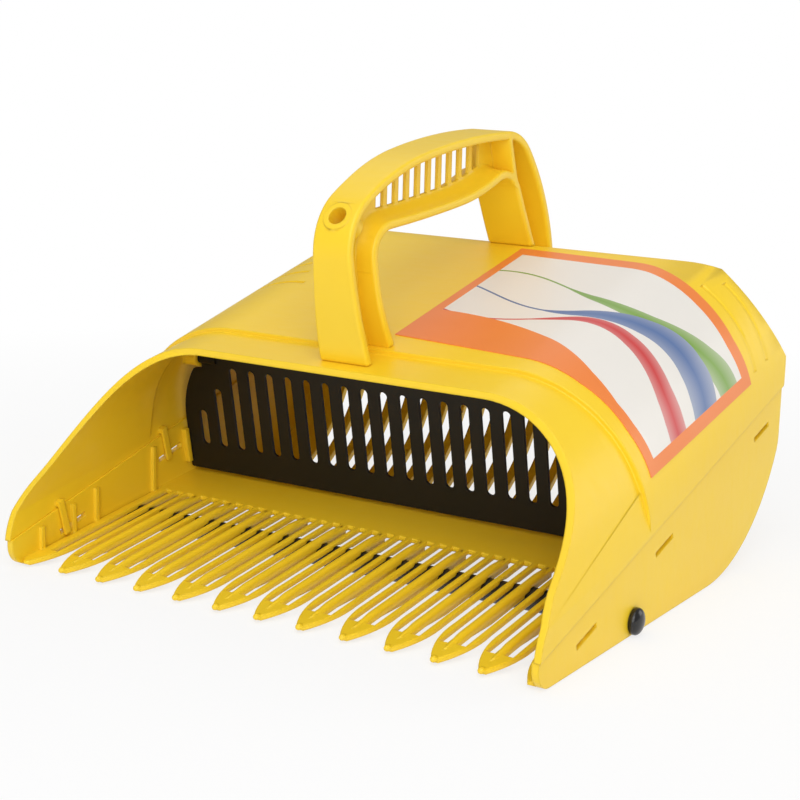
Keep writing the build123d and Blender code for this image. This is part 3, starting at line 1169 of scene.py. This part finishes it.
@dataclass
class FlapSkin(CadSkin):
    """Skin of the flap, with its lower edge let down to where the sill hides it."""

    hinge: Pair = (88.6, 64.0)
    lean: float = 0.207
    edge_drop: float = 46.7
    let_down: Pair = (0.16, -0.78)
    thickness_way: Pair = (0.979, 0.203)
    slack: float = 0.02

    def moves(self) -> tuple[Move, ...]:
        """The lower edge."""
        return (self.lengthen,)

    def roundings(self) -> tuple[Rounding, ...]:
        """The corners of the slots."""
        return (Rounding(width=0.6, segments=2, wanted=self.in_slot_corner, convex=False),)

    def lengthen(self, point: Vector) -> None:
        """Let the lower edge down.

        Args:
            point: Corner of the flap, changed in place.
        """
        back, up = self.hinge
        height = ((back - point.y) * self.lean + point.z - up) / math.hypot(1.0, self.lean)
        if height < -self.edge_drop:
            point.y += self.let_down[0]
            point.z += self.let_down[1]

    def in_slot_corner(self, ends: Sequence[Vector]) -> bool:
        """Whether an edge goes through the flap's thickness, in a slot's corner.

        Args:
            ends: Both ends of the edge.

        Returns:
            Whether it does.
        """
        step = ends[1] - ends[0]
        back, up = self.thickness_way
        through = abs(step.y) * back + abs(step.z) * up
        return abs(step.x) < TOUCH and abs(through - step.length) < self.slack


@dataclass
class RodCap:
    """Domed cap on one end of the cross rod."""

    side: int
    name: str
    face: float = 107.0
    height: float = 3.2
    radius: float = 4.6
    foot_share: float = 0.96
    foot_height: float = 0.25
    rim_share: float = 0.3
    centre: Pair = (63.0, 4.7)
    segments: int = 48
    rings: int = 9
    ring_angle: float = 9.5
    smooth_angle: float = 40.0

    def build(self, material: Material) -> Piece:
        """Draw the cap's rim and raise its dome ring by ring.

        Args:
            material: Finish of the cap.

        Returns:
            The cap.
        """
        bpy.ops.object.select_all(action="DESELECT")
        radius, level = self.radius * self.foot_share, 0.0
        spot = model_view(Vector((self.side * self.face, *self.centre)))
        bpy.ops.mesh.primitive_circle_add(
            vertices=self.segments,
            radius=radius * MM,
            fill_type="NGON",
            location=spot,
            rotation=(0.0, self.side * math.pi / 2, 0.0),
        )
        piece = bpy.context.object
        piece.name = self.name + "_dome"
        bpy.ops.object.transform_apply(location=True, rotation=True, scale=True)
        with editing():
            for next_level, next_radius in self.profile():
                step = self.side * (next_level - level) * MM
                bpy.ops.mesh.extrude_region_move(
                    TRANSFORM_OT_translate={"value": (step, 0.0, 0.0)}
                )
                ratio = next_radius / radius
                bpy.ops.transform.resize(
                    value=(1.0, ratio, ratio),
                    center_override=spot + Vector((self.side * next_level * MM, 0.0, 0.0)),
                )
                radius, level = next_radius, next_level
            bpy.ops.mesh.select_all(action="SELECT")
            bpy.ops.mesh.normals_make_consistent(inside=False)
        bpy.ops.object.shade_smooth_by_angle(angle=math.radians(self.smooth_angle))
        dress(piece, material)
        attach(piece, Body.ROD.value)
        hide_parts(self.name)
        return piece

    def profile(self) -> list[Pair]:
        """Heights and radii of the rings from the rim to the crown.

        Returns:
            Pairs of height and radius.
        """
        rim = self.height * self.rim_share
        rings = [(self.foot_height, self.radius), (rim, self.radius)]
        for step in range(1, self.rings + 1):
            angle = math.radians(step * self.ring_angle)
            level = rim + (self.height - rim) * math.sin(angle)
            rings.append((level, self.radius * math.cos(angle)))
        return rings


class Rake:
    """The whole rake, piece by piece."""

    skins: tuple[CadSkin, ...] = (
        HoodSkin("hood", Body.SCOOP, Slot.YELLOW),
        HandleSkin("handle", Body.SCOOP, Slot.YELLOW, flatness=0.05),
        TraySkin("tray", Body.SCOOP, Slot.YELLOW),
        CadSkin("label", Body.SCOOP, Slot.LABEL),
        FlapSkin("flap", Body.FLAP, Slot.FLAP),
        CadSkin("cross_rod", Body.ROD, Slot.ROD),
    )
    caps: tuple[RodCap, ...] = (RodCap(1, "rod_cap_right"), RodCap(-1, "rod_cap_left"))

    def build(self) -> list[Piece]:
        """Build and dress every piece.

        Returns:
            The pieces in the order made.
        """
        finishes = Finishes().by_slot
        pieces = [skin.build(finishes[skin.slot]) for skin in self.skins]
        pieces += [cap.build(finishes[Slot.CAP]) for cap in self.caps]
        return pieces


@dataclass(frozen=True)
class PhotoCamera:
    """Camera at the photograph's station point, which is in millimetres of the model."""

    station: Triple = (342.99, -562.75, 201.85)
    yaw: float = 31.73
    pitch: float = 12.28
    roll: float = 1.43
    focal: float = 1848.2
    frame_px: float = 800.0
    sensor: float = 36.0
    nearest: float = 10.0

    def build(self) -> Piece:
        """Create the camera and make it the scene's own.

        Returns:
            The camera object.
        """
        yaw, pitch, roll = (math.radians(angle) for angle in (self.yaw, self.pitch, self.roll))
        level = math.cos(pitch)
        ahead = Vector((-math.sin(yaw) * level, math.cos(yaw) * level, -math.sin(pitch)))
        right = Vector((math.cos(yaw), math.sin(yaw), 0.0))
        down = ahead.cross(right)
        right_turned = math.cos(roll) * right - math.sin(roll) * down
        down_turned = math.sin(roll) * right + math.cos(roll) * down
        data = bpy.data.cameras.new("photo_camera")
        data.sensor_width = self.sensor
        data.lens = self.focal / self.frame_px * self.sensor
        data.clip_start = self.nearest * MM
        camera = bpy.data.objects.new("photo_camera", data)
        bpy.context.scene.collection.objects.link(camera)
        turn = Matrix((right_turned, -down_turned, -ahead)).transposed()
        camera.matrix_world = Matrix.Translation(Vector(self.station) * MM) @ turn.to_4x4()
        bpy.context.scene.camera = camera
        return camera


@dataclass(frozen=True)
class Softbox:
    """Square area lamp aimed at a point, sized in metres."""

    name: str
    place: Triple
    size: float
    power: float
    target: Triple = (0.0, 0.0, 0.05)

    def build(self) -> Piece:
        """Create the lamp.

        Returns:
            The lamp object.
        """
        data = bpy.data.lights.new(self.name, "AREA")
        data.size = self.size
        data.energy = self.power
        lamp = bpy.data.objects.new(self.name, data)
        bpy.context.scene.collection.objects.link(lamp)
        lamp.location = self.place
        aim = Vector(self.target) - Vector(self.place)
        lamp.rotation_euler = aim.to_track_quat("-Z", "Y").to_euler()
        return lamp


@dataclass(frozen=True)
class Studio:
    """White floor, soft lamps and a white surround, sized in metres."""

    lamps: tuple[Softbox, ...] = (
        Softbox("key_box", (1.0, -1.25, 0.85), size=1.4, power=11.5),
        Softbox("front_box", (0.3, -0.9, 1.6), size=1.8, power=14.0),
        Softbox("low_box", (0.45, -1.5, 0.3), size=1.0, power=3.0),
        Softbox("back_box", (1.3, 1.5, 0.6), size=1.0, power=5.5),
        Softbox("top_box", (-0.7, 1.0, 1.6), size=1.4, power=4.0),
    )
    white: Triple = (1.0, 1.0, 1.0)
    paint: Triple = (0.95, 0.95, 0.95)
    world_strength: float = 0.38
    floor_half: float = 30.0
    floor_drop: float = 0.0004
    shadow_share: float = 0.25
    shadow_reach: Pair = (0.22, 0.5)

    def build(self) -> None:
        """Put up the floor, the lamps and the surround."""
        self.floor()
        self.surround()
        for lamp in self.lamps:
            lamp.build()

    def seen(self, graph: Graph) -> Socket:
        """Whether a ray comes from the camera, a gloss or a clear surface.

        Args:
            graph: Tree that asks.

        Returns:
            1 for such rays, else 0.
        """
        path = graph.node("LightPath")
        straight = graph.math("ADD", path.outputs["Is Camera Ray"], path.outputs["Is Glossy Ray"])
        return graph.math("ADD", straight, path.outputs["Is Transmission Ray"], clamp=True)

    def floor(self) -> None:
        """Lay a pale floor that keeps a soft shadow."""
        bpy.ops.object.select_all(action="DESELECT")
        bpy.ops.mesh.primitive_plane_add(
            size=2 * self.floor_half, location=(0.0, 0.0, -self.floor_drop)
        )
        plane = bpy.context.object
        plane.name = "studio_floor"
        graph = Graph("studio_floor")
        paint = graph.node("BsdfDiffuse", Color=self.paint)
        glow = graph.node("Emission", Color=self.white, Strength=1.0)
        reach = graph.node("VectorMath", Vector=graph.place())
        reach.operation = "LENGTH"
        shadow = graph.span(
            reach.outputs["Value"], self.shadow_reach, (self.shadow_share, 0.0)
        )
        share = graph.math("MULTIPLY", self.seen(graph), graph.math("SUBTRACT", 1.0, shadow))
        both = graph.node("MixShader", Fac=share)
        graph.feed(both.inputs[1], paint.outputs[0])
        graph.feed(both.inputs[2], glow.outputs[0])
        graph.node("OutputMaterial", Surface=both.outputs[0])
        dress(plane, graph.material)

    def surround(self) -> None:
        """Light the scene from a white surround that the camera sees as white."""
        world = bpy.data.worlds.new("studio_surround")
        world.use_nodes = True
        nodes, links = world.node_tree.nodes, world.node_tree.links
        nodes.clear()
        path = nodes.new("ShaderNodeLightPath")
        light, bright = nodes.new("ShaderNodeBackground"), nodes.new("ShaderNodeBackground")
        light.inputs["Strength"].default_value = self.world_strength
        both, out = nodes.new("ShaderNodeMixShader"), nodes.new("ShaderNodeOutputWorld")
        for background in (light, bright):
            background.inputs["Color"].default_value = (*self.white, 1.0)
        links.new(path.outputs["Is Camera Ray"], both.inputs["Fac"])
        links.new(light.outputs[0], both.inputs[1])
        links.new(bright.outputs[0], both.inputs[2])
        links.new(both.outputs[0], out.inputs["Surface"])
        bpy.context.scene.world = world


def main() -> None:
    """Build the rake and its studio, and report each piece."""
    logging.basicConfig(level=logging.INFO, format="%(message)s")
    bpy.context.scene.view_settings.view_transform = "Standard"
    PhotoCamera().build()
    Studio().build()
    for piece in Rake().build():
        log.info("%s: %d faces", piece.name, len(piece.data.polygons))


if __name__ == "__main__":
    main()
